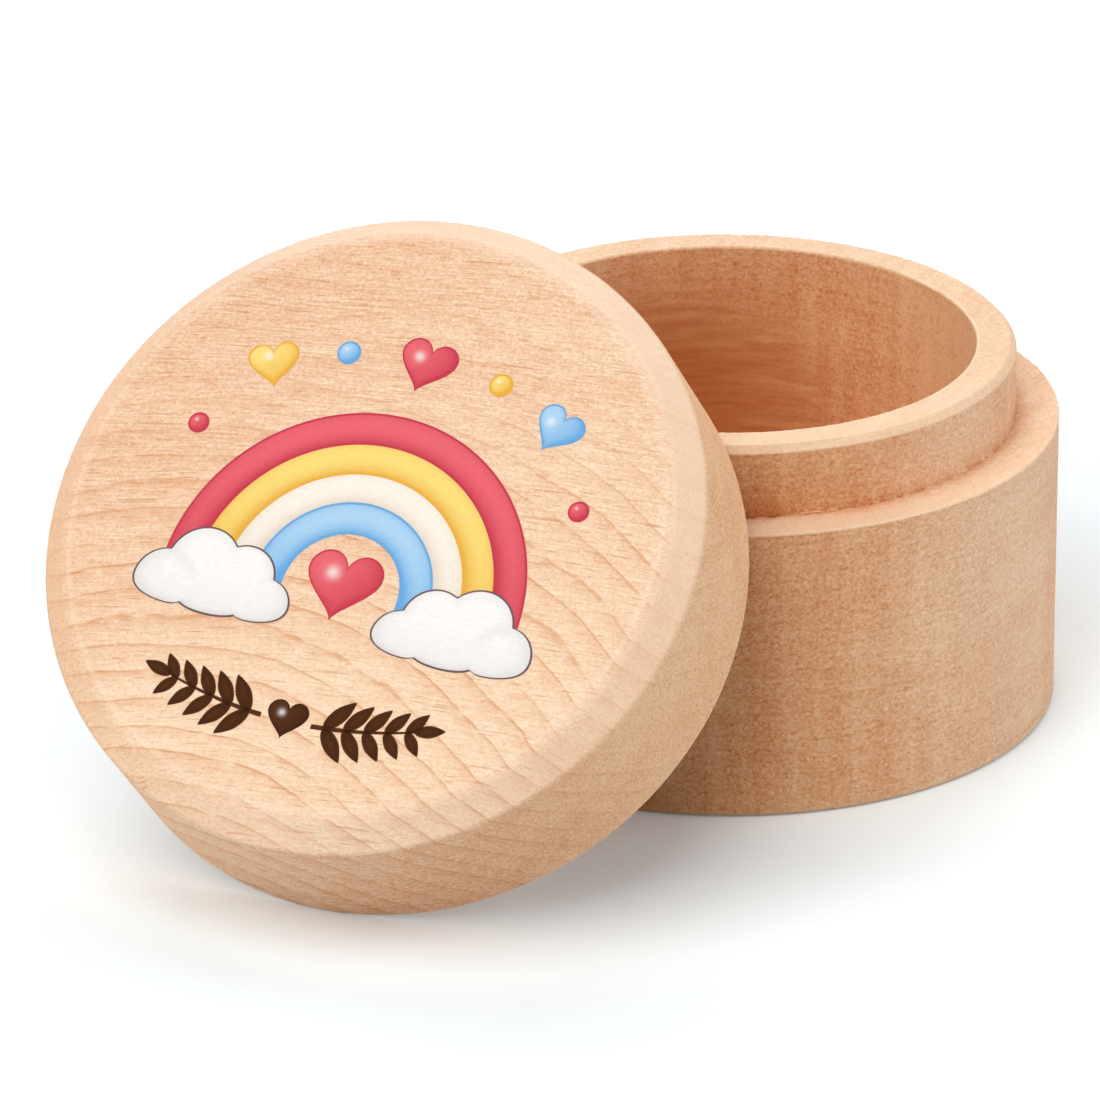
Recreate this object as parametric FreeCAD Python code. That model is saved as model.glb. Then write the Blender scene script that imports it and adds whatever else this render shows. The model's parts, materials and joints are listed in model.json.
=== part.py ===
import FreeCAD, Part
import math
import os

# A round keepsake box turned from two pieces of beech: a cup-shaped base and a loose lid.
# The lid is off. It stands on the lower edge of its mouth and leans back on the base's rim.
# Origin: centre of the base's underside, on the floor. +Z is up the base's turning axis.

# Driving dimensions, in millimetres and degrees

# Base: a cup whose rim is stepped in to a spigot that carries the lid
body_radius = 25.0
shoulder_height = 22.7
shoulder_width = 3.3
spigot_height = 5.6
spigot_wall = 3.0
floor_thickness = 5.0
foot_round = 0.5
shoulder_round = 0.3
spigot_foot_round = 0.25
rim_outer_round = 1.0
rim_inner_round = 0.4
cavity_corner_round = 1.5

# Lid: a thick cap, flush with the base, with a bevelled top edge
lid_roof = 7.9
bevel_width = 2.1
bevel_height = 2.1
bevel_inner_round = 0.6
bevel_outer_round = 0.5
mouth_outer_round = 0.4
socket_corner_round = 0.8

# Fit of the closed lid on the spigot
socket_clearance = 0.12
roof_clearance = 0.6
mouth_relief = 0.25

# Lean of the open lid: where its top face points, how far it stands to the side, and its gap
lean_elevation = 44.9
lean_azimuth = -112.5
lean_side_shift = -11.7
lean_gap = 0.15

# Sizes that follow from the driving dimensions
spigot_radius = body_radius - shoulder_width
cavity_radius = spigot_radius - spigot_wall
rim_height = shoulder_height + spigot_height
socket_radius = spigot_radius + socket_clearance
socket_depth = spigot_height + roof_clearance
mouth_inner_round = spigot_foot_round + mouth_relief
lid_height = socket_depth + lid_roof

turning_axis = FreeCAD.Vector(0, 0, 1)
sideways = FreeCAD.Vector(0, 1, 0)
origin = FreeCAD.Vector(0, 0, 0)


def rounded_corner(before, corner, after, rounding):
    """Start, middle and end of the arc that rounds off one corner of a profile."""
    to_before = (before - corner).normalize()
    to_after = (after - corner).normalize()
    bisector = (to_before + to_after).normalize()
    half_angle = to_before.getAngle(to_after) / 2
    reach = rounding / math.tan(half_angle)
    centre = corner + bisector * (rounding / math.sin(half_angle))
    return corner + to_before * reach, centre - bisector * rounding, corner + to_after * reach


def turned(profile):
    """Solid of revolution from a closed half section of (radius, height, rounding) corners."""
    points = [FreeCAD.Vector(radius, 0, height) for radius, height, rounding in profile]
    stretches = []
    arcs = []
    for index, (radius, height, rounding) in enumerate(profile):
        corner = points[index]
        if rounding:
            after = points[(index + 1) % len(points)]
            start, middle, end = rounded_corner(points[index - 1], corner, after, rounding)
            arcs.append(Part.Arc(start, middle, end).toShape())
            stretches.append((start, end))
        else:
            stretches.append((corner, corner))
    lines = []
    for index, (start, end) in enumerate(stretches):
        lines.append(Part.LineSegment(stretches[index - 1][1], start).toShape())
    outline = Part.Wire(Part.__sortEdges__(lines + arcs))
    return Part.Face(outline).revolve(origin, turning_axis, 360)


def base():
    """Cup with a flat foot, a shoulder for the lid and a rounded spigot rim."""
    return turned([
        (0, 0, 0),
        (body_radius, 0, foot_round),
        (body_radius, shoulder_height, shoulder_round),
        (spigot_radius, shoulder_height, spigot_foot_round),
        (spigot_radius, rim_height, rim_outer_round),
        (cavity_radius, rim_height, rim_inner_round),
        (cavity_radius, floor_thickness, cavity_corner_round),
        (0, floor_thickness, 0),
    ])


def lid():
    """Cap with its mouth at height 0: a socket below and a bevelled face on top."""
    return turned([
        (0, socket_depth, 0),
        (socket_radius, socket_depth, socket_corner_round),
        (socket_radius, 0, mouth_inner_round),
        (body_radius, 0, mouth_outer_round),
        (body_radius, lid_height - bevel_height, bevel_outer_round),
        (body_radius - bevel_width, lid_height, bevel_inner_round),
        (0, lid_height, 0),
    ])


def reach_along_lean(radius, height, rounding):
    """How far a rounded rim of the base reaches along the leaning lid's axis."""
    tilt = math.radians(lean_elevation)
    return (radius - rounding) * math.cos(tilt) + (height - rounding) * math.sin(tilt) + rounding


def lean():
    """Place of the open lid: mouth edge on the floor, mouth plane against the base's rim."""
    tilt = math.radians(lean_elevation)
    contact = max(
        reach_along_lean(spigot_radius, rim_height, rim_outer_round),
        reach_along_lean(body_radius, shoulder_height, shoulder_round),
    )
    mouth_height = (
        (body_radius - mouth_outer_round) * math.cos(tilt)
        + mouth_outer_round * (1 - math.sin(tilt))
    )
    forward = (contact - mouth_height * math.sin(tilt)) / math.cos(tilt)
    turn = FreeCAD.Rotation(turning_axis, lean_azimuth)
    tip = FreeCAD.Rotation(sideways, 90 - lean_elevation)
    place = turn.multVec(FreeCAD.Vector(forward, lean_side_shift, mouth_height))
    return FreeCAD.Placement(place, turn * tip)


def leaning_lid(support):
    """The open lid, pushed along the floor until its mouth rests on the support's rim.

    A push is as long as the room that is left, so the two pieces never run into each other.
    """
    pushes = 6
    shape = lid()
    shape.Placement = lean()
    forward = FreeCAD.Rotation(turning_axis, lean_azimuth).multVec(FreeCAD.Vector(1, 0, 0))
    for push in range(pushes):
        room = shape.distToShape(support)[0] - lean_gap
        shape.translate(forward * -room)
    return shape


os.makedirs("parts", exist_ok=True)
cup = base()
cup.exportStep("parts/base.step")
leaning_lid(cup).exportStep("parts/lid.step")
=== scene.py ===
# Looks of a turned beech keepsake box: a cup with a spigot, and a loose lid that leans on it.

import json
import math

import bpy
import numpy as np
from mathutils import Matrix, Vector, noise


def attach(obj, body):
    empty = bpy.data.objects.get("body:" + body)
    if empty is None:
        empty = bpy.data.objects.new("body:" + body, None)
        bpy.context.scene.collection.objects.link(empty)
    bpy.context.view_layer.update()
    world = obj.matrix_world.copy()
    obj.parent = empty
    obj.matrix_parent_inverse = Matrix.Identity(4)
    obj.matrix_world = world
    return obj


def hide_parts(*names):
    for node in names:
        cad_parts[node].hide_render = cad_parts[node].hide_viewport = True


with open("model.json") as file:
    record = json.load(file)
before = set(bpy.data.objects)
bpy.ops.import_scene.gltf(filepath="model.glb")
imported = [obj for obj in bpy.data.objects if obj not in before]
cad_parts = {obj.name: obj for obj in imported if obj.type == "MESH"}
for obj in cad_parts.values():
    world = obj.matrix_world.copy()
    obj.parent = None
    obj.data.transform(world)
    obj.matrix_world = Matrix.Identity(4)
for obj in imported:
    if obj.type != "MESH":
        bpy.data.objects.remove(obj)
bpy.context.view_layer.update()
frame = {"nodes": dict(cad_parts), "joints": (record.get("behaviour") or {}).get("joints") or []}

MM = 0.001

# Turned sizes, in millimetres
BODY_RADIUS = 25.0
SHOULDER_HEIGHT = 22.7
SPIGOT_RADIUS = 21.7
RIM_HEIGHT = 28.3
RIM_CHAMFER = 0.48
CAVITY_RADIUS = 18.7
FLOOR_HEIGHT = 5.0
SOCKET_RADIUS = 21.82
SOCKET_DEPTH = 6.2
LID_HEIGHT = 14.1
BEVEL_WIDTH = 2.1
BEVEL_HEIGHT = 2.1

# Fibre: in the base, from +X towards +Y; in the lid, its rise across the face
BASE_FIBRE_AZIMUTH = math.radians(62)
LID_FIBRE_SLOPE = 0.07

# Painted shade on the cavity's wall: where it starts below the rim, how soon it is full, how strong it is,
# and painted light on its right
CAVITY_SHADE_START = 1.0
CAVITY_SHADE_DEPTH = 9.0
CAVITY_SHADE_STRENGTH = 0.6
CAVITY_LIT_RIGHT = 0.8

# Even painted shade on the cavity's floor, with its reach up the wall, and in the lid's socket
CAVITY_FLOOR_SHADE = 0.15
CAVITY_FLOOR_SHADE_TOP = 6.5
CAVITY_FLOOR_SHADE_BLEND = 5.0
SOCKET_SHADE = 0.35

# Painted shade on the spigot: its height in the crease of the shoulder, and of the painted shadow on the
# side that the lid leans on
CREASE_SHADE_HEIGHT = 0.9
LID_SHADOW_HEIGHT = 7.0

# Fineness of the turned meshes
TURN_STEPS = 640
ARC_STEPS = 7
RUN_STEP = 1.2
EDGE_GUARD = 0.08

# Camera, fitted to the photograph
CAMERA_PLACE = (-0.013365, -0.69759, 0.30885)
CAMERA_PITCH = 66.87
CAMERA_LENS = 327.27
SENSOR_WIDTH = 36.0


def srgb(red, green, blue):
    """A screen colour of 0 to 255 as the linear colour that a shader takes."""
    shares = (value / 255 for value in (red, green, blue))
    linear = [s / 12.92 if s <= 0.04045 else ((s + 0.055) / 1.055) ** 2.4 for s in shares]
    return (*linear, 1.0)


def clamp(value):
    """The value held between 0 and 1."""
    return min(1.0, max(0.0, value))


def link(piece):
    """Puts a new object in the scene."""
    bpy.context.scene.collection.objects.link(piece)
    return piece


# Where the lid lies: its own axes and the middle of its mouth, read from the frame

def lid_matrix():
    """The lid's own frame: X level to the right, Y up the slope, Z out of its face, origin at the mouth."""
    out = Vector(frame["joints"][0]["axis"]).normalized()
    right = Vector((0, 0, 1)).cross(out).normalized()
    up = out.cross(right)
    points = [vertex.co for vertex in frame["nodes"]["lid"].data.vertices]
    reach = [[point.dot(axis) for point in points] for axis in (right, up, out)]
    middle = [(min(values) + max(values)) / 2 for values in reach[:2]]
    place = right * middle[0] + up * middle[1] + out * min(reach[2])
    turn = Matrix((right, up, out)).transposed().to_4x4()
    return Matrix.Translation(place) @ turn


# Turned meshes

def corner_arc(before, corner, after):
    """Points (radius, height, turn, fray) of the arc that rounds one corner of a profile."""
    here = np.array(corner[:2])
    back = np.array(before[:2]) - here
    ahead = np.array(after[:2]) - here
    back = back / np.linalg.norm(back)
    ahead = ahead / np.linalg.norm(ahead)
    half = math.acos(float(np.clip(back @ ahead, -1, 1))) / 2
    middle = (back + ahead) / np.linalg.norm(back + ahead)
    rounding, fray = corner[2], corner[3]
    centre = here + middle * rounding / math.sin(half)
    first = here + back * rounding / math.tan(half) - centre
    last = here + ahead * rounding / math.tan(half) - centre
    outward = float(np.sign(back[1] * ahead[0] - back[0] * ahead[1]))
    sweep = math.pi - 2 * half
    points = []
    for step in range(ARC_STEPS + 1):
        share = step / ARC_STEPS
        arm = first * math.sin((1 - share) * sweep) + last * math.sin(share * sweep)
        place = centre + arm / math.sin(sweep)
        swell = math.sin(math.pi * (step + 1) / (ARC_STEPS + 2))
        points.append((*place, outward * swell, fray * swell))
    return points


def run_between(first, last):
    """Points of the straight run between two arcs, with a guard ring near each end."""
    start, end = np.array(first[:2]), np.array(last[:2])
    length = float(np.linalg.norm(end - start))
    if length < 3 * EDGE_GUARD:
        return []
    inner = length - 2 * EDGE_GUARD
    count = max(1, round(inner / RUN_STEP))
    ways = [EDGE_GUARD + inner * step / count for step in range(count + 1)]
    return [(*(start + (end - start) * way / length), 0.0, 0.0) for way in ways]


def turned_profile(corners):
    """The whole profile as points (radius, height, turn, fray), from axis to axis."""
    arcs = [[(*corners[0][:2], 0.0, 0.0)]]
    for before, corner, after in zip(corners, corners[1:], corners[2:]):
        arcs.append(corner_arc(before, corner, after))
    arcs.append([(*corners[-1][:2], 0.0, 0.0)])
    points = list(arcs[0])
    for before, arc in zip(arcs, arcs[1:]):
        points += run_between(before[-1], arc[0]) + arc
    return points


def fray_at(angle, radius, seed):
    """Unevenness of a sanded edge, about -1 to 1: fine torn fibres over a slow waver."""
    x, y = radius * math.cos(angle), radius * math.sin(angle)
    fine = noise.noise((x / 0.35, y / 0.35, seed))
    slow = noise.noise((x / 4.0, y / 4.0, seed + 9.5))
    return fine + 0.6 * slow


def turned_faces(ring_count):
    """Quads between neighbouring rings, and a fan round the point at each end of the axis."""
    faces = []
    steps = [(step, (step + 1) % TURN_STEPS) for step in range(TURN_STEPS)]
    for ring in range(ring_count - 1):
        near, far = ring * TURN_STEPS, (ring + 1) * TURN_STEPS
        faces += [(near + step, near + after, far + after, far + step) for step, after in steps]
    first_tip = ring_count * TURN_STEPS
    last_ring = first_tip - TURN_STEPS
    faces += [(first_tip, after, step) for step, after in steps]
    faces += [(first_tip + 1, last_ring + step, last_ring + after) for step, after in steps]
    return faces


def turned_mesh(name, corners, seed, inside_at, wear_and_shading_at):
    """A closed mesh turned from corners (radius, height, rounding, fray), all in millimetres."""
    profile = turned_profile(corners)
    rings = profile[1:-1]
    vertices, tone_shift, inside = [], [], []
    for radius, height, turn, fray in rings:
        for step in range(TURN_STEPS):
            angle = 2 * math.pi * step / TURN_STEPS
            shift = fray * fray_at(angle, radius, seed) if fray else 0.0
            reach = (radius + shift) * MM
            vertices.append((reach * math.cos(angle), reach * math.sin(angle), (height + shift) * MM))
            tone_shift.append(wear_and_shading_at(angle, radius, height, turn))
            inside.append(inside_at(angle, radius, height))
    for _, height, _, _ in (profile[0], profile[-1]):
        vertices.append((0.0, 0.0, height * MM))
        tone_shift.append(0.0)
        inside.append(inside_at(0.0, 0.0, height))
    mesh = bpy.data.meshes.new(name)
    mesh.from_pydata(vertices, [], turned_faces(len(rings)))
    mesh.shade_smooth()
    for label, values in (("tone_shift", tone_shift), ("inside", inside)):
        mesh.attributes.new(label, "FLOAT", "POINT").data.foreach_set("value", values)
    return link(bpy.data.objects.new(name, mesh))


def base_piece():
    """The cup: foot, wall, shoulder, spigot with a small chamfer on its rim, and the cavity."""
    corners = [
        (0, 0, 0, 0),
        (BODY_RADIUS, 0, 0.5, 0.04),
        (BODY_RADIUS, SHOULDER_HEIGHT, 0.14, 0.05),
        (SPIGOT_RADIUS, SHOULDER_HEIGHT, 0.12, 0.26),
        (SPIGOT_RADIUS, RIM_HEIGHT - RIM_CHAMFER, 0.2, 0.02),
        (SPIGOT_RADIUS - RIM_CHAMFER, RIM_HEIGHT, 0.15, 0.03),
        (CAVITY_RADIUS, RIM_HEIGHT, 0.22, 0.06),
        (CAVITY_RADIUS, FLOOR_HEIGHT, 1.5, 0.0),
        (0, FLOOR_HEIGHT, 0, 0),
    ]
    return turned_mesh("base_turned", corners, 3.7, inside_cup, cup_wear_and_painted_shading)


def inside_cup(angle, radius, height):
    """Painted shade of the cavity: 0 outside, more down the wall and towards its left, below 0 for painted
    light on its right, and even on its floor.
    """
    if radius > CAVITY_RADIUS + 0.2 or height < FLOOR_HEIGHT - 0.1:
        return 0.0
    depth = clamp((RIM_HEIGHT - CAVITY_SHADE_START - height) / CAVITY_SHADE_DEPTH)
    # Painted light on the cavity's right wall
    pale = CAVITY_LIT_RIGHT * max(0.0, math.cos(angle)) ** 2
    wall = min(1.0, depth * CAVITY_SHADE_STRENGTH * (1 - math.cos(angle)) - pale)
    low = clamp((FLOOR_HEIGHT + CAVITY_FLOOR_SHADE_TOP - height) / CAVITY_FLOOR_SHADE_BLEND)
    return wall + (CAVITY_FLOOR_SHADE - wall) * low


def cup_wear_and_painted_shading(angle, radius, height, turn):
    """Above 0 where sanding has bared an outward edge, and as painted light over the rim and shoulder, most
    at the front; below 0 as painted shade in an inward corner, in the shoulder's crease and up the spigot
    beside the lid.
    """
    chamfer_foot = RIM_HEIGHT - RIM_CHAMFER
    if abs(radius - SPIGOT_RADIUS) < 0.3 and height < chamfer_foot - 0.12:
        rise = height - SHOULDER_HEIGHT
        # Painted shade in the shoulder's crease, and a painted shadow on the spigot beside the lid
        crease = 0.4 * max(0.0, 1 - rise / CREASE_SHADE_HEIGHT) ** 2
        lid_shadow = clamp(0.7 - 1.2 * math.cos(angle)) * (1 - rise / LID_SHADOW_HEIGHT)
        return -max(crease, lid_shadow)
    if height > SHOULDER_HEIGHT - 0.2 and radius > CAVITY_RADIUS:
        # Painted light over the rim and shoulder, most at the front, with wear on their edges
        return 0.3 + 0.5 * max(0.0, -math.sin(angle)) + 0.3 * turn
    # Wear on outward edges, and painted shade in inward corners
    return 0.6 * turn


def lid_piece():
    """The cap: socket, mouth, side wall, bevel and face."""
    corners = [
        (0, SOCKET_DEPTH, 0, 0),
        (SOCKET_RADIUS, SOCKET_DEPTH, 0.8, 0.0),
        (SOCKET_RADIUS, 0, 0.5, 0.04),
        (BODY_RADIUS, 0, 0.4, 0.04),
        (BODY_RADIUS, LID_HEIGHT - BEVEL_HEIGHT, 0.8, 0.02),
        (BODY_RADIUS - BEVEL_WIDTH, LID_HEIGHT, 1.6, 0.02),
        (0, LID_HEIGHT, 0, 0),
    ]
    return turned_mesh("lid_turned", corners, 8.2, inside_lid, lid_wear_and_painted_shading)


def inside_lid(angle, radius, height):
    """The same painted shade all over the socket, and 0 outside."""
    in_socket = radius < SOCKET_RADIUS + 0.1 and height < SOCKET_DEPTH + 0.1
    return SOCKET_SHADE if in_socket else 0.0


def lid_wear_and_painted_shading(angle, radius, height, turn):
    """Above 0 as painted light on the bevel, most where it stands highest, and as wear on other edges, with
    a painted highlight on the mouth's edges; below 0 as painted shade in a corner.
    """
    past_inner_edge = radius - (BODY_RADIUS - BEVEL_WIDTH) + 0.3
    past_foot = height - (LID_HEIGHT - BEVEL_HEIGHT) + 0.3
    if past_inner_edge > 0 and past_foot > 0:
        # Painted light on the bevel, strongest at the top of the lid
        rise = min(1.0, past_inner_edge / 0.5, past_foot / 0.5)
        return rise * (0.48 + 0.38 * math.sin(angle + 0.3))
    # Wear on outward edges, partly a painted highlight at the mouth, and painted shade in inward corners
    return (0.9 if height < 1.0 else 0.5) * turn


# Shader graphs

class Graph:
    """A material's node tree, with a short call for each kind of node that is used here."""

    def __init__(self, name):
        self.material = bpy.data.materials.new(name)
        self.material.use_nodes = True
        self.tree = self.material.node_tree
        self.shader = self.tree.nodes["Principled BSDF"]

    def add(self, kind, **settings):
        node = self.tree.nodes.new(kind)
        for label, value in settings.items():
            setattr(node, label, value)
        return node

    def feed(self, socket, value):
        if isinstance(value, bpy.types.NodeSocket):
            self.tree.links.new(value, socket)
        else:
            socket.default_value = value

    def math(self, operation, *values):
        node = self.add("ShaderNodeMath", operation=operation)
        for socket, value in zip(node.inputs, values):
            self.feed(socket, value)
        return node.outputs[0]

    def vector(self, operation, first, second):
        node = self.add("ShaderNodeVectorMath", operation=operation)
        self.feed(node.inputs[0], first)
        self.feed(node.inputs[1], second)
        return node.outputs["Value" if operation in ("DOT_PRODUCT", "LENGTH") else "Vector"]

    def combine(self, x, y, z):
        node = self.add("ShaderNodeCombineXYZ")
        for socket, value in zip(node.inputs, (x, y, z)):
            self.feed(socket, value)
        return node.outputs[0]

    def product(self, first, *others):
        total = first
        for other in others:
            total = self.math("MULTIPLY", total, other)
        return total

    def along(self, point, axis):
        """How far a point or direction reaches along an axis."""
        return self.vector("DOT_PRODUCT", point, axis)

    def fade(self, value, low, high, start=0.0, end=1.0):
        """start where value is low, end where it is high, with a smooth change between."""
        node = self.add("ShaderNodeMapRange", interpolation_type="SMOOTHSTEP")
        for socket, number in zip(node.inputs, (value, low, high, start, end)):
            self.feed(socket, number)
        return node.outputs[0]

    def noise(self, point, detail=2.0, roughness=0.5, twist=0.0):
        node = self.add("ShaderNodeTexNoise")
        self.feed(node.inputs["Vector"], point)
        self.feed(node.inputs["Scale"], 1.0)
        self.feed(node.inputs["Detail"], detail)
        self.feed(node.inputs["Roughness"], roughness)
        self.feed(node.inputs["Distortion"], twist)
        return node.outputs["Fac"]

    def cells(self, point):
        """Distance to the nearest cell middle, and that cell's own chance from 0 to 1."""
        node = self.add("ShaderNodeTexVoronoi")
        self.feed(node.inputs["Vector"], point)
        self.feed(node.inputs["Scale"], 1.0)
        parts = self.add("ShaderNodeSeparateColor")
        self.feed(parts.inputs[0], node.outputs["Color"])
        return node.outputs["Distance"], parts.outputs[0]

    def mix(self, factor, first, second, blend="MIX"):
        node = self.add("ShaderNodeMix", data_type="RGBA", blend_type=blend)
        self.feed(node.inputs["Factor"], factor)
        self.feed(node.inputs["A"], first)
        self.feed(node.inputs["B"], second)
        return node.outputs["Result"]

    def attribute(self, name, output="Fac"):
        return self.add("ShaderNodeAttribute", attribute_name=name).outputs[output]


# Beech

PALE, DEEP = srgb(255, 229, 198), srgb(214, 130, 66)
FLECK, RING = srgb(200, 124, 68), srgb(216, 146, 92)
# Painted shade: the colour that darkens the hollows, and the colour that darkens creases, inward corners
# and the spigot beside the lid
HOLLOW_SHADE_TINT = srgb(208, 155, 54)
CORNER_AND_SHADOW_TINT = srgb(222, 180, 128)


class Grain:
    """How the wood lies in one piece: its origin, fibre and across directions, and what it shows most."""

    def __init__(self, origin, fibre, across, **shows):
        self.origin = Vector(origin)
        self.fibre = Vector(fibre).normalized()
        self.across = Vector(across).normalized()
        self.through = self.fibre.cross(self.across)
        self.shows = shows


def fibre_point(graph, grain):
    """The surface point in millimetres along the fibre, across it and through it."""
    place = graph.add("ShaderNodeTexCoord").outputs["Object"]
    place = graph.vector("SUBTRACT", place, tuple(grain.origin))
    point = graph.vector("MULTIPLY", place, (1 / MM,) * 3)
    axes = (grain.fibre, grain.across, grain.through)
    return graph.combine(*(graph.along(point, tuple(axis)) for axis in axes))


def weigh(graph, layers):
    """Sum of (value, weight) pairs."""
    total = 0.0
    for value, weight in layers:
        total = graph.math("MULTIPLY_ADD", value, weight, total)
    return total


def bent(graph, point, bend):
    """The point with the fibre arched, most at the bottom of the piece, and a little wavy."""
    parts = graph.add("ShaderNodeSeparateXYZ")
    graph.feed(parts.inputs[0], point)
    along, side, depth = parts.outputs
    arch = graph.product(along, along, bend, graph.fade(side, -22.0, 22.0, 1.0, 0.5))
    waver = graph.noise(graph.vector("MULTIPLY", point, (0.05, 0.09, 0.09)), 1.0)
    side = weigh(graph, ((side, 1.0), (arch, 1.0), (waver, 1.6)))
    return graph.combine(along, side, depth)


def flecks(graph, point, size, share):
    """Ray flecks: a dark lens in some cells of a lattice that is stretched along the fibre."""
    distance, chance = graph.cells(graph.vector("DIVIDE", point, size))
    radius = graph.fade(chance, 1 - share, 1.0, 0.01, 0.5)
    return graph.fade(graph.math("DIVIDE", distance, radius), 0.5, 1.0, 1.0, 0.0)


def ring_reach(graph, point, shows):
    """Distance from the rings' middle, wavering, with wide years and narrow ones."""
    flat = graph.vector("SUBTRACT", point, (*shows["ring_centre"], 0.0))
    flat = graph.vector("MULTIPLY", flat, (1.0, 1.0, 0.0))
    depth = graph.along(point, (0.0, 0.0, shows["ring_lean"]))
    reach = graph.math("ADD", graph.vector("LENGTH", flat, (0, 0, 0)), depth)
    drift = graph.noise(graph.vector("DIVIDE", point, (14.0, 14.0, 14.0)), 2.0)
    ripple = graph.noise(graph.vector("DIVIDE", point, (1.1, 1.1, 1.1)), 2.0)
    growth = graph.noise(graph.combine(graph.math("DIVIDE", reach, 3.0), 0.0, 0.0), 2.0)
    return weigh(graph, ((reach, 1.0), (drift, 2.0), (ripple, 0.25), (growth, 2.0)))


def rings(graph, point, shows):
    """Growth rings: a thin broken line at the end of each year, fainter up the piece."""
    reach = ring_reach(graph, point, shows)
    part = graph.math("FRACT", graph.math("DIVIDE", reach, shows["ring_spacing"]))
    late = graph.fade(part, 0.3, 0.9, 0.0, 0.4)
    line = graph.fade(part, 0.84, 0.95, 0.0, 0.6)
    broken = graph.noise(graph.vector("DIVIDE", point, (1.8, 0.9, 0.9)), 2.0)
    strong = graph.noise(graph.combine(graph.math("DIVIDE", reach, 1.9), 5.0, 0.0), 1.0)
    height = graph.along(point, (0.0, 1.0, 0.0))
    return graph.product(
        graph.math("ADD", late, line),
        graph.fade(part, 0.95, 1.0, 1.0, 0.0),
        graph.fade(broken, 0.25, 0.55),
        graph.fade(strong, 0.3, 0.6, 0.5, 1.0),
        graph.fade(height, -4.0, 16.0, 1.0, 0.3))


def ground_shade(graph, point, layers):
    """Sum of noises, each (size, detail, twist, weight), that swing evenly above and below nought."""
    parts = []
    for size, detail, twist, weight in layers:
        value = graph.noise(graph.vector("DIVIDE", point, size), detail, 0.6, twist)
        parts.append((graph.math("SUBTRACT", value, 0.5), weight))
    return weigh(graph, parts)


class Skin:
    """What the shader knows of a surface point: its place in the wood, how it faces, and its wear and
    painted shading.
    """

    def __init__(self, graph, grain):
        self.straight = fibre_point(graph, grain)
        self.point = bent(graph, self.straight, grain.shows["bend"])
        normal = graph.add("ShaderNodeTexCoord").outputs["Normal"]
        self.flat = graph.math("ABSOLUTE", graph.along(normal, tuple(grain.through)))
        self.facing = graph.math("ABSOLUTE", graph.along(normal, tuple(grain.fibre)))
        self.tone_shift = graph.attribute("tone_shift")
        self.inside = graph.attribute("inside")


def fibre_swing(graph, skin, shows):
    """How strongly the ground varies, by the cut of the wood, its wear and painted shading, its height and
    its hollows.
    """
    rise = graph.along(skin.straight, (0.0, 1.0, 0.0))
    return graph.product(
        graph.fade(skin.facing, 0.1, 0.9, *shows["swing"]),
        graph.fade(skin.tone_shift, 0.1, 0.8, 1.0, 0.85),
        graph.fade(skin.flat, 0.1, 0.6, shows["side_swing"], 1.0),
        graph.fade(rise, -16.0, 20.0, shows["low_swing"], 1.0),
        graph.fade(skin.inside, 0.0, 0.5, 1.0, 0.15))


def hollow_shade(graph, skin):
    """Streaks in a hollow, and painted light on the right of the cavity."""
    streak = graph.noise(graph.vector("DIVIDE", skin.straight, (5.0, 0.6, 5.0)), 4.0, 0.65)
    streak = graph.math("SUBTRACT", streak, 0.5)
    streak = graph.product(streak, graph.fade(skin.inside, 0.0, 0.3, 0.0, 1.25))
    return graph.math("ADD", streak, graph.fade(skin.inside, -0.8, 0.0, -0.42, 0.0))


def painted_side_shade(graph, skin):
    """Painted shade: 1 on the sides that run with the fibre, turning below 0 to painted light back towards
    the fibre's start.
    """
    return graph.product(
        graph.fade(skin.flat, 0.1, 0.6, 1.0, 0.0),
        graph.fade(skin.facing, 0.2, 0.9, 1.0, 0.0),
        graph.fade(graph.along(skin.straight, (1.0, 0.0, 0.0)), -20.0, 4.0, -1.2, 1.0))


def wood_shade(graph, skin, shows):
    """The ground of the wood, from 0 where it is palest to 1 where it is deepest, with painted light and
    shade in it.
    """
    ground = ground_shade(graph, skin.point, shows["ground"])
    height = graph.along(skin.straight, (-0.5, 0.87, 0.0))
    return weigh(graph, (
        (graph.product(ground, fibre_swing(graph, skin, shows)), 1.0),
        # A slope up the lid's face, deeper at the top and paler at the lower end: partly the wood's own
        # colour, partly painted light
        (graph.fade(height, -22.0, 22.0, *shows["tone_and_painted_light"]), 1.0),
        (hollow_shade(graph, skin), 1.0),
        (painted_side_shade(graph, skin), shows["side_painted_shade"])))


def ray_dashes(graph, skin, amount):
    """Short and long ray flecks, fewer where edges are bared or painted paler, and on the sides."""
    small = flecks(graph, skin.point, (1.8, 0.15, 1.2), 0.36)
    large = flecks(graph, skin.point, (4.4, 0.22, 1.6), 0.18)
    return graph.product(
        graph.math("MAXIMUM", small, large),
        amount,
        graph.fade(skin.tone_shift, 0.1, 0.8, 1.0, 0.2),
        graph.fade(skin.flat, 0.1, 0.8, 0.4, 1.0))


def tinted(graph, skin, colour, shows):
    """The wood's colour with its end grain, painted shade in its hollows, bared edges with painted light,
    and painted shade in corners, the crease and beside the lid.
    """
    cut = graph.mix(1.0, colour, shows["end_tint"], "MULTIPLY")
    colour = graph.mix(graph.fade(skin.facing, 0.1, 0.85), colour, cut)
    # Painted shade down the cavity's wall and in the socket
    hollow_shaded = graph.mix(1.0, colour, HOLLOW_SHADE_TINT, "MULTIPLY")
    colour = graph.mix(skin.inside, colour, hollow_shaded)
    # Paler on bared edges, and as painted light on the rim, shoulder and bevel
    colour = graph.mix(graph.product(skin.tone_shift, 0.6), colour, shows["bare_and_painted_light"])
    # Painted shade in corners, the shoulder's crease and on the spigot beside the lid
    crease_shaded = graph.mix(1.0, colour, CORNER_AND_SHADOW_TINT, "MULTIPLY")
    return graph.mix(graph.product(skin.tone_shift, -1.0), colour, crease_shaded)


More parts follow.
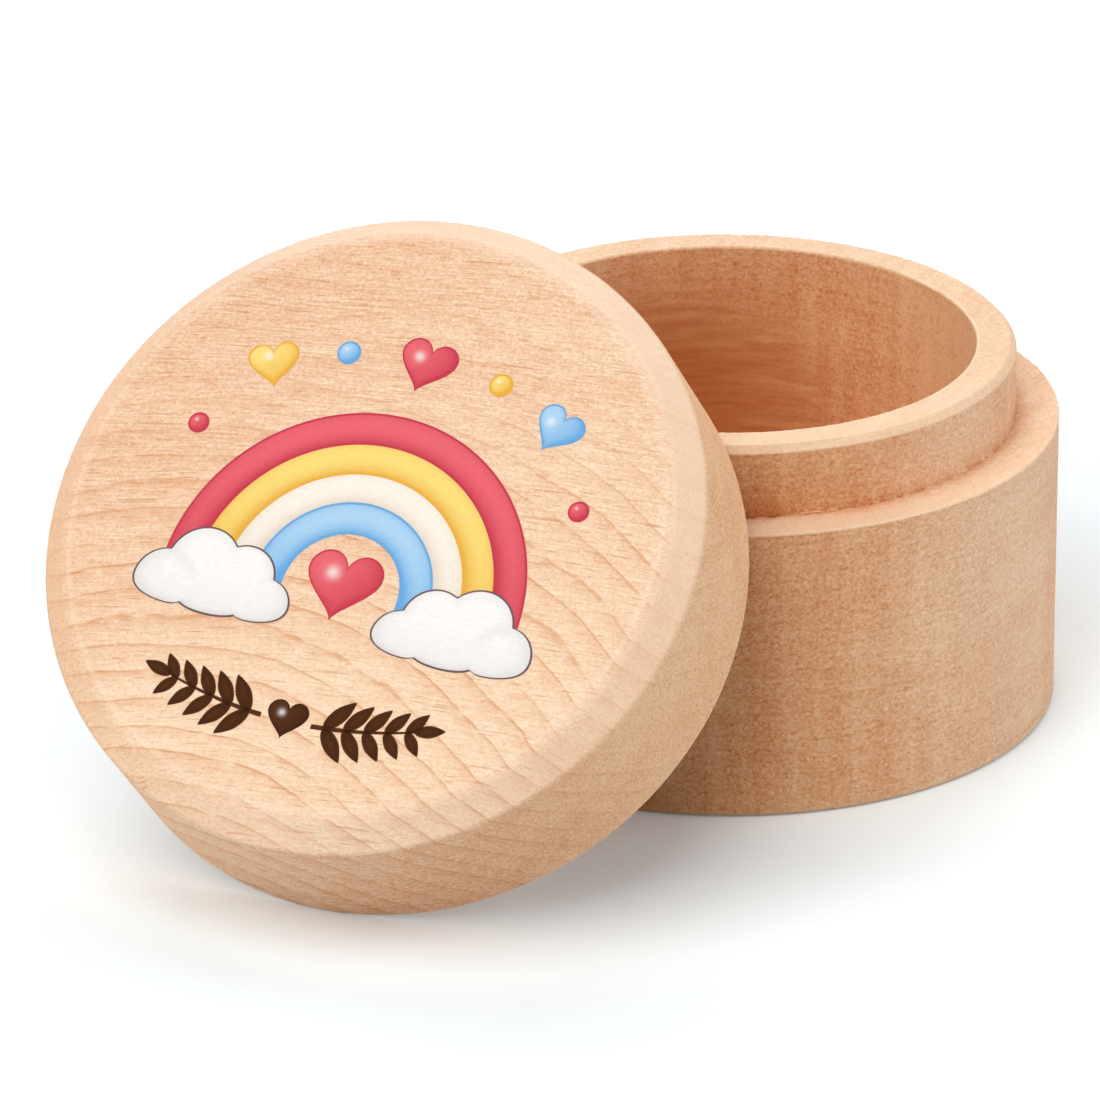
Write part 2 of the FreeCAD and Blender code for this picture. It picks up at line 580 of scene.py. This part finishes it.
def beech(name, grain):
    """Steamed beech: a pale ground with fibres, dark ray flecks, growth rings and a tinted end grain."""
    graph = Graph(name)
    shows = grain.shows
    skin = Skin(graph, grain)
    shade = wood_shade(graph, skin, shows)
    years = graph.product(
        rings(graph, skin.straight, shows), shows["rings"], graph.fade(skin.facing, 0.3, 0.9, 1.0, 0.3))
    dashes = ray_dashes(graph, skin, shows["flecks"])
    colour = graph.mix(shade, PALE, DEEP)
    colour = graph.mix(years, colour, RING)
    colour = graph.mix(dashes, colour, FLECK)
    graph.feed(graph.shader.inputs["Base Color"], tinted(graph, skin, colour, shows))
    graph.feed(graph.shader.inputs["Roughness"], graph.fade(shade, 0.0, 1.0, 0.58, 0.74))
    graph.feed(graph.shader.inputs["Specular IOR Level"], 0.18)
    bump = graph.add("ShaderNodeBump", invert=True)
    graph.feed(bump.inputs["Strength"], 0.18)
    graph.feed(bump.inputs["Distance"], 0.035 * MM)
    graph.feed(bump.inputs["Height"], graph.math("MAXIMUM", shade, dashes))
    graph.feed(graph.shader.inputs["Normal"], bump.outputs[0])
    return graph.material


# Ink print on the lid's face: x to the right and y up the face, in millimetres from its middle

WHITE = srgb(253, 250, 245)
SHADE_GREY = srgb(214, 207, 206)
OUTLINE = srgb(112, 92, 92)
CORAL, CORAL_DEEP = srgb(238, 106, 116), srgb(205, 62, 82)
YELLOW, YELLOW_DEEP = srgb(255, 224, 128), srgb(238, 178, 66)
BLUE, BLUE_DEEP = srgb(178, 216, 245), srgb(108, 172, 226)
CREAM, CREAM_DEEP = srgb(255, 246, 232), srgb(232, 214, 196)
BROWN, BROWN_DEEP = srgb(84, 46, 20), srgb(64, 34, 14)
PRINT_TURN = math.radians(-3.7)
LINE_WIDTH = 0.16
LINE_EDGE = 0.02

# Height of the ink over the face, and how far its border goes below the face
RAINBOW_LEVEL, MOTIF_LEVEL, CLOUD_LEVEL = 0.02, 0.03, 0.04
INK_SINK = 0.01


def blended(first, second, share):
    """A colour between two: the first at a share of 0 or less, the second at 1 or more."""
    held = clamp(share)
    return tuple(a + (b - a) * held for a, b in zip(first, second))


class Ink:
    """One printed motif: thin closed layers of ink, with a colour at each point."""

    def __init__(self, name):
        self.name = name
        self.vertices, self.faces, self.colours = [], [], []

    def point(self, x, y, level, colour):
        self.vertices.append((x * MM, y * MM, (LID_HEIGHT + level) * MM))
        self.colours.append(colour)
        return len(self.vertices) - 1

    def close(self, loop):
        """Carries the layer's border down into the wood and shuts it below."""
        low = []
        for index in loop:
            x, y, _ = self.vertices[index]
            low.append(self.point(x / MM, y / MM, -INK_SINK, self.colours[index]))
        for step, index in enumerate(loop):
            after = (step + 1) % len(loop)
            self.faces.append((index, low[step], low[after], loop[after]))
        self.faces.append(tuple(reversed(low)))

    def strip(self, rows, level):
        """An open layer through rows of (x, y, colour), as a band or a stroke."""
        index = [[self.point(x, y, level, colour) for x, y, colour in row] for row in rows]
        for near, far in zip(index, index[1:]):
            for step in range(len(near) - 1):
                self.faces.append((near[step], near[step + 1], far[step + 1], far[step]))
        right = [row[-1] for row in index[1:-1]]
        left = [row[0] for row in reversed(index[1:-1])]
        self.close(index[0] + right + index[-1][::-1] + left)

    def disc(self, centre, outline, paint, line, level, rings=9):
        """A filled layer inside an outline that its centre sees whole, with a line round it."""
        shares = [(ring + 1) / rings for ring in range(rings)]
        middle = self.point(*centre, level, paint(0.0, 0.0, 0.0))
        rows = [[(x * share, y * share, paint(x * share, y * share, share)) for x, y in outline]
                for share in shares]
        for reach in (LINE_EDGE, LINE_WIDTH):
            rows.append([(*grown(x, y, reach), line) for x, y in outline])
        index = [[self.point(centre[0] + x, centre[1] + y, level, colour) for x, y, colour in row]
                 for row in rows]
        count = len(outline)
        for step in range(count):
            after = (step + 1) % count
            self.faces.append((middle, index[0][step], index[0][after]))
            for near, far in zip(index, index[1:]):
                self.faces.append((near[step], far[step], far[after], near[after]))
        self.close(index[-1])

    def piece(self, place, material):
        """The motif as an object on the lid's face."""
        mesh = bpy.data.meshes.new(self.name)
        mesh.from_pydata(self.vertices, [], self.faces)
        colours = mesh.attributes.new("ink", "FLOAT_COLOR", "POINT")
        colours.data.foreach_set("color", [part for colour in self.colours for part in colour])
        mesh.materials.append(material)
        mesh.transform(place @ Matrix.Rotation(PRINT_TURN, 4, "Z"))
        piece = link(bpy.data.objects.new(self.name, mesh))
        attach(piece, "lid")


def grown(x, y, reach):
    """A point moved outward from the middle."""
    share = 1 + reach / math.hypot(x, y)
    return x * share, y * share


def turned_outline(points, angle):
    """An outline turned about its middle."""
    cos, sin = math.cos(angle), math.sin(angle)
    return [(x * cos - y * sin, x * sin + y * cos) for x, y in points]


def round_angles(count):
    """Evenly spaced angles once round."""
    return [2 * math.pi * step / count for step in range(count)]


def glossy_paint(pale, deep, size):
    """Airbrushed colour: pale at the upper left, deep at the lower right and along the rim."""
    def paint(x, y, share):
        slope = (x - y) / (2.4 * size)
        glint = math.exp(-((x + 0.34 * size) ** 2 + (y - 0.34 * size) ** 2) / (0.03 * size * size))
        colour = blended(pale, deep, 0.35 + slope + 0.45 * (share ** 5))
        return blended(colour, WHITE, 0.75 * glint)
    return paint


def heart(ink, centre, size, angle, pale, deep):
    """A heart of that width."""
    curve_width, curve_middle = 32, -2.5
    outline = []
    for t in round_angles(72):
        x = 16 * math.sin(t) ** 3
        y = 13 * math.cos(t) - 5 * math.cos(2 * t) - 2 * math.cos(3 * t) - math.cos(4 * t)
        outline.append((-x * size / curve_width, (y - curve_middle) * size / curve_width))
    paint = glossy_paint(pale, deep, size / 2)
    ink.disc(centre, turned_outline(outline, angle), paint, deep, MOTIF_LEVEL)


def dot(ink, centre, radius, pale, deep):
    """A round dot."""
    outline = [(radius * math.cos(t), radius * math.sin(t)) for t in round_angles(40)]
    ink.disc(centre, outline, glossy_paint(pale, deep, radius), deep, MOTIF_LEVEL, 5)


def rainbow(place, material):
    """An arch of four bands, each lit along its upper side, with a thin line between them."""
    middle, inner, width = (0.0, -5.6), 4.6, 2.35
    bands = [(BLUE, BLUE_DEEP), (CREAM, CREAM_DEEP), (YELLOW, YELLOW_DEEP), (CORAL, CORAL_DEEP)]
    lines = [BLUE_DEEP, BLUE_DEEP, YELLOW_DEEP, CORAL_DEEP, CORAL_DEEP]
    steps, band_steps = 96, 8
    angles = [math.pi * (1.08 - 1.16 * step / steps) for step in range(steps + 1)]

    def row(radius, pale, deep, body=0.0):
        points = []
        for angle in angles:
            share = body ** 2 + 0.55 * (1 - math.sin(angle)) ** 2
            x = middle[0] + radius * math.cos(angle)
            y = middle[1] + radius * math.sin(angle)
            points.append((x, y, blended(pale, deep, share)))
        return points

    rows = []
    for number, line in enumerate(lines):
        border = inner + number * width
        rows += [row(border + reach, line, line) for reach in (-LINE_WIDTH / 2, LINE_WIDTH / 2)]
        if number < len(bands):
            start = border + LINE_WIDTH / 2 + LINE_EDGE
            span = width - LINE_WIDTH - 2 * LINE_EDGE
            for step in range(band_steps + 1):
                share = step / band_steps
                rows.append(row(start + span * share, *bands[number], 1.5 * abs(share - 0.62)))
    ink = Ink("print_rainbow")
    ink.strip(rows, RAINBOW_LEVEL)
    ink.piece(place, material)


def cloud_outline(lobes, floor_drop):
    """The outer edge of several round lobes with a flat bottom, seen from their middle."""
    outline = []
    for angle in round_angles(144):
        dx, dy = math.cos(angle), math.sin(angle)
        reach = 0.0
        for x, y, radius in lobes:
            along = x * dx + y * dy
            inside = along * along - x * x - y * y + radius * radius
            if inside >= 0:
                reach = max(reach, along + math.sqrt(inside))
        if dy < 0:
            reach = min(reach, (floor_drop ** -4 * dy ** 4 + reach ** -4) ** -0.25)
        outline.append((dx * reach, dy * reach))
    return outline


def cloud(name, centre, lobes, place, material):
    """A white cloud with grey in its folds and under it."""
    ink = Ink(name)
    drop = 2.6

    def paint(x, y, share):
        shade = 0.5 * share ** 8 + 0.4 * (0.6 - y) / (2 * drop)
        for lobe_x, lobe_y, radius in lobes[:2]:
            gap = math.hypot(x - lobe_x, y - lobe_y) - 0.86 * radius
            above = max(0.0, y - lobe_y) / radius
            shade += 0.4 * above * math.exp(-((gap / 0.5) ** 2)) * (1 - share ** 6)
        return blended(WHITE, SHADE_GREY, shade)

    ink.disc(centre, cloud_outline(lobes, drop), paint, OUTLINE, CLOUD_LEVEL, 22)
    ink.piece(place, material)


def sprig(place, material):
    """A leafy twig with a small heart in the middle, in dark brown; each half grows outward."""
    ink = Ink("print_sprig")
    middle, half, steps = (-0.4, -16.0), 10.0, 24

    def stem(way):
        return middle[0] + way * half, middle[1] + 1.5 * way * way

    for side in (-1, 1):
        spine = [stem(side * (0.2 + 0.8 * step / steps)) for step in range(steps + 1)]
        widths = [0.19 - 0.12 * step / steps for step in range(steps + 1)]
        rows = [[(x, y + edge * width, BROWN) for (x, y), width in zip(spine, widths)]
                for edge in (side, -side)]
        ink.strip(rows, MOTIF_LEVEL)
        outward = 0.0 if side > 0 else math.pi
        for number in range(5):
            root = stem(side * (0.3 + 0.155 * number))
            for lean in (0.95, -0.85):
                leaf(ink, root, 2.7 - 0.22 * number, outward + side * lean)
        leaf(ink, stem(side * 0.98), 2.0, outward + side * 0.25)
    heart(ink, (middle[0], middle[1] + 0.1), 2.9, 0.0, BROWN, BROWN_DEEP)
    ink.piece(place, material)


def leaf(ink, root, length, angle):
    """A pointed leaf that grows from its root at that angle."""
    outline = []
    for t in round_angles(36):
        bulge = 0.2 * length * math.sin(t) * abs(math.sin(t / 2)) ** 0.6
        outline.append((0.5 * length * math.cos(t), bulge))
    centre = (root[0] + 0.56 * length * math.cos(angle), root[1] + 0.56 * length * math.sin(angle))

    def paint(x, y, share):
        return blended(BROWN, BROWN_DEEP, share)

    ink.disc(centre, turned_outline(outline, angle), paint, BROWN, MOTIF_LEVEL, 3)


def ink_material():
    """Printed ink with a slight gloss, broken a little by the fibres under it."""
    graph = Graph("printed_ink")
    place = graph.add("ShaderNodeTexCoord").outputs["Object"]
    fibres = graph.noise(graph.vector("MULTIPLY", place, (900.0, 7000.0, 7000.0)), 3.0, 0.6)
    tone_shift = graph.fade(fibres, 0.3, 0.7, 0.94, 1.0)
    colour = graph.mix(1.0, graph.attribute("ink", "Color"), graph.combine(tone_shift, tone_shift, tone_shift), "MULTIPLY")
    graph.feed(graph.shader.inputs["Base Color"], colour)
    graph.feed(graph.shader.inputs["Roughness"], graph.fade(fibres, 0.3, 0.7, 0.7, 0.58))
    graph.feed(graph.shader.inputs["Specular IOR Level"], 0.06)
    return graph.material


def lid_print(place):
    """A rainbow on two clouds, hearts and dots round it, and a twig below."""
    material = ink_material()
    rainbow(place, material)
    left_lobes = [(-3.9, -0.6, 2.3), (-1.4, 1.2, 2.7), (1.9, 0.8, 2.4), (4.1, -0.9, 2.0), (0.2, -0.6, 3.0)]
    right_lobes = [(-x, y, radius) for x, y, radius in left_lobes]
    cloud("print_cloud_left", (-9.5, -7.0), left_lobes, place, material)
    cloud("print_cloud_right", (9.6, -7.0), right_lobes, place, material)
    ink = Ink("print_hearts")
    heart(ink, (0.0, -5.2), 5.6, 0.0, CORAL, CORAL_DEEP)
    heart(ink, (0.2, 12.6), 4.2, -0.1, CORAL, CORAL_DEEP)
    heart(ink, (-11.2, 10.2), 3.6, 0.35, YELLOW, YELLOW_DEEP)
    heart(ink, (11.6, 10.0), 3.6, -0.35, BLUE, BLUE_DEEP)
    dot(ink, (-5.9, 12.4), 0.75, BLUE, BLUE_DEEP)
    dot(ink, (6.3, 12.5), 0.75, YELLOW, YELLOW_DEEP)
    dot(ink, (-15.2, 4.6), 0.65, CORAL, CORAL_DEEP)
    dot(ink, (15.4, 4.4), 0.65, CORAL, CORAL_DEEP)
    ink.piece(place, material)
    sprig(place, material)


# Stage, light and camera

FLOOR_HALF = 4.0
FLOOR_DROP = 0.02
FLOOR_BOUNCE, FLOOR_SEEN = (0.7, 0.7, 0.7, 1.0), (0.93, 0.985, 1.0, 1.0)
FLOOR_GLOW, FLOOR_GLOW_LEVEL = (0.82, 1.0, 1.08, 1.0), 0.1
AMBIENT = 0.08


def stage_floor():
    """A wide pale floor that shows white to the camera and keeps the box's shadow."""
    corners = ((-1, -1), (1, -1), (1, 1), (-1, 1))
    mesh = bpy.data.meshes.new("floor")
    vertices = [(x * FLOOR_HALF, y * FLOOR_HALF, -FLOOR_DROP * MM) for x, y in corners]
    mesh.from_pydata(vertices, [], [(0, 1, 2, 3)])
    floor = link(bpy.data.objects.new("floor", mesh))
    graph = Graph("floor_paper")
    seen = seen_directly(graph)
    graph.feed(graph.shader.inputs["Base Color"], graph.mix(seen, FLOOR_BOUNCE, FLOOR_SEEN))
    graph.feed(graph.shader.inputs["Roughness"], 0.9)
    graph.feed(graph.shader.inputs["Specular IOR Level"], 0.0)
    graph.feed(graph.shader.inputs["Emission Color"], FLOOR_GLOW)
    graph.feed(graph.shader.inputs["Emission Strength"], graph.product(seen, FLOOR_GLOW_LEVEL))
    mesh.materials.append(graph.material)


def seen_directly(graph):
    """1 for rays from the camera, a reflection or a clear piece, and 0 for light that falls on the box."""
    path = graph.add("ShaderNodeLightPath")
    seen = graph.math("MAXIMUM", path.outputs["Is Camera Ray"], path.outputs["Is Glossy Ray"])
    return graph.math("MAXIMUM", seen, path.outputs["Is Transmission Ray"])


class WorldGraph(Graph):
    """The same short calls, on the world's node tree."""

    def __init__(self, name):
        self.world = bpy.data.worlds.new(name)
        self.world.use_nodes = True
        self.tree = self.world.node_tree
        self.shader = self.tree.nodes["Background"]


def studio_world():
    """Even light from all round, and plain white where it is seen."""
    graph = WorldGraph("studio")
    strength = graph.math("MAXIMUM", seen_directly(graph), AMBIENT)
    graph.feed(graph.shader.inputs["Color"], (1.0, 1.0, 1.0, 1.0))
    graph.feed(graph.shader.inputs["Strength"], strength)
    bpy.context.scene.world = graph.world


def soft_lamp(name, towards, spread, level):
    """A broad distant lamp; level is what it adds to a white surface that faces it."""
    lamp = bpy.data.lights.new(name, "SUN")
    lamp.energy = level * math.pi
    lamp.angle = math.radians(spread)
    piece = link(bpy.data.objects.new(name, lamp))
    piece.rotation_euler = Vector(towards).to_track_quat("Z", "Y").to_euler()


def studio_lamps():
    """Four broad lamps round the box."""
    soft_lamp("overhead", (-0.19, -0.32, 0.93), 50, 0.42)
    soft_lamp("front_left", (-0.59, -0.66, 0.47), 60, 0.46)
    soft_lamp("right", (0.95, 0.0, 0.31), 50, 0.37)
    soft_lamp("back", (0.0, 0.74, 0.67), 50, 0.37)


def photo_camera():
    """The camera that took the photograph, level and looking along +Y."""
    camera = bpy.data.cameras.new("camera")
    camera.lens = CAMERA_LENS
    camera.sensor_width = SENSOR_WIDTH
    piece = link(bpy.data.objects.new("camera", camera))
    piece.location = CAMERA_PLACE
    piece.rotation_euler = (math.radians(CAMERA_PITCH), 0.0, 0.0)
    bpy.context.scene.camera = piece


# The two pieces: ground layers are (size along, across and through the fibre, detail, twist, weight)

BASE_GROUND = (
    ((26.0, 6.0, 6.0), 2.0, 0.0, 0.4),
    ((9.0, 30.0, 1.4), 2.0, 0.0, 0.6),
    ((8.0, 0.35, 8.0), 2.0, 0.0, 0.4),
    ((1.0, 0.8, 0.8), 2.0, 0.5, 0.12),
    ((1.5, 0.2, 0.2), 2.0, 0.0, 0.4),
    ((0.3, 0.26, 0.26), 1.0, 1.0, 1.35),
)
LID_GROUND = (
    ((26.0, 6.0, 6.0), 2.0, 0.0, 0.4),
    ((7.0, 0.9, 1.2), 3.0, 0.0, 0.25),
    ((4.5, 0.15, 0.15), 2.0, 0.0, 0.85),
    ((1.2, 0.12, 0.12), 2.0, 0.0, 0.5),
    ((0.26, 0.2, 0.2), 1.0, 0.8, 1.0),
)


def dressed_base():
    """The cup, with its fibre level and its rings lying almost flat."""
    fibre = (math.cos(BASE_FIBRE_AZIMUTH), math.sin(BASE_FIBRE_AZIMUTH), 0.0)
    grain = Grain(
        (0.0, 0.0, 0.0), fibre, (0.0, 0.0, 1.0),
        ground=BASE_GROUND, bend=0.0, swing=(0.7, 1.15), side_swing=1.0, low_swing=1.0,
        tone_and_painted_light=(0.39, 0.39), side_painted_shade=0.0, flecks=0.18,
        rings=0.15, ring_centre=(0.0, -60.0), ring_lean=1.0, ring_spacing=3.4,
        bare_and_painted_light=srgb(255, 228, 194), end_tint=srgb(244, 222, 196))
    base = base_piece()
    base.data.materials.append(beech("base_beech", grain))
    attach(base, "base")
    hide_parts("base")


def dressed_lid(place):
    """The cap, with its fibre across the face and its rings arching up from below."""
    fibre = place.to_3x3() @ Vector((1.0, LID_FIBRE_SLOPE, 0.0))
    across = place.to_3x3() @ Vector((-LID_FIBRE_SLOPE, 1.0, 0.0))
    grain = Grain(
        place.translation, fibre, across,
        ground=LID_GROUND, bend=0.003, swing=(0.95, 0.95), side_swing=1.5, low_swing=0.75,
        tone_and_painted_light=(0.2, 0.4), side_painted_shade=0.2, flecks=0.38,
        rings=0.72, ring_centre=(-11.0, -42.0), ring_lean=0.6, ring_spacing=2.1,
        bare_and_painted_light=srgb(255, 234, 212), end_tint=srgb(250, 236, 220))
    lid = lid_piece()
    lid.data.transform(place)
    lid.data.materials.append(beech("lid_beech", grain))
    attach(lid, "lid")
    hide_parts("lid")


# Assembly

bpy.context.scene.view_settings.view_transform = "Standard"

lid_place = lid_matrix()
dressed_base()
dressed_lid(lid_place)
lid_print(lid_place)

stage_floor()
studio_world()
studio_lamps()
photo_camera()
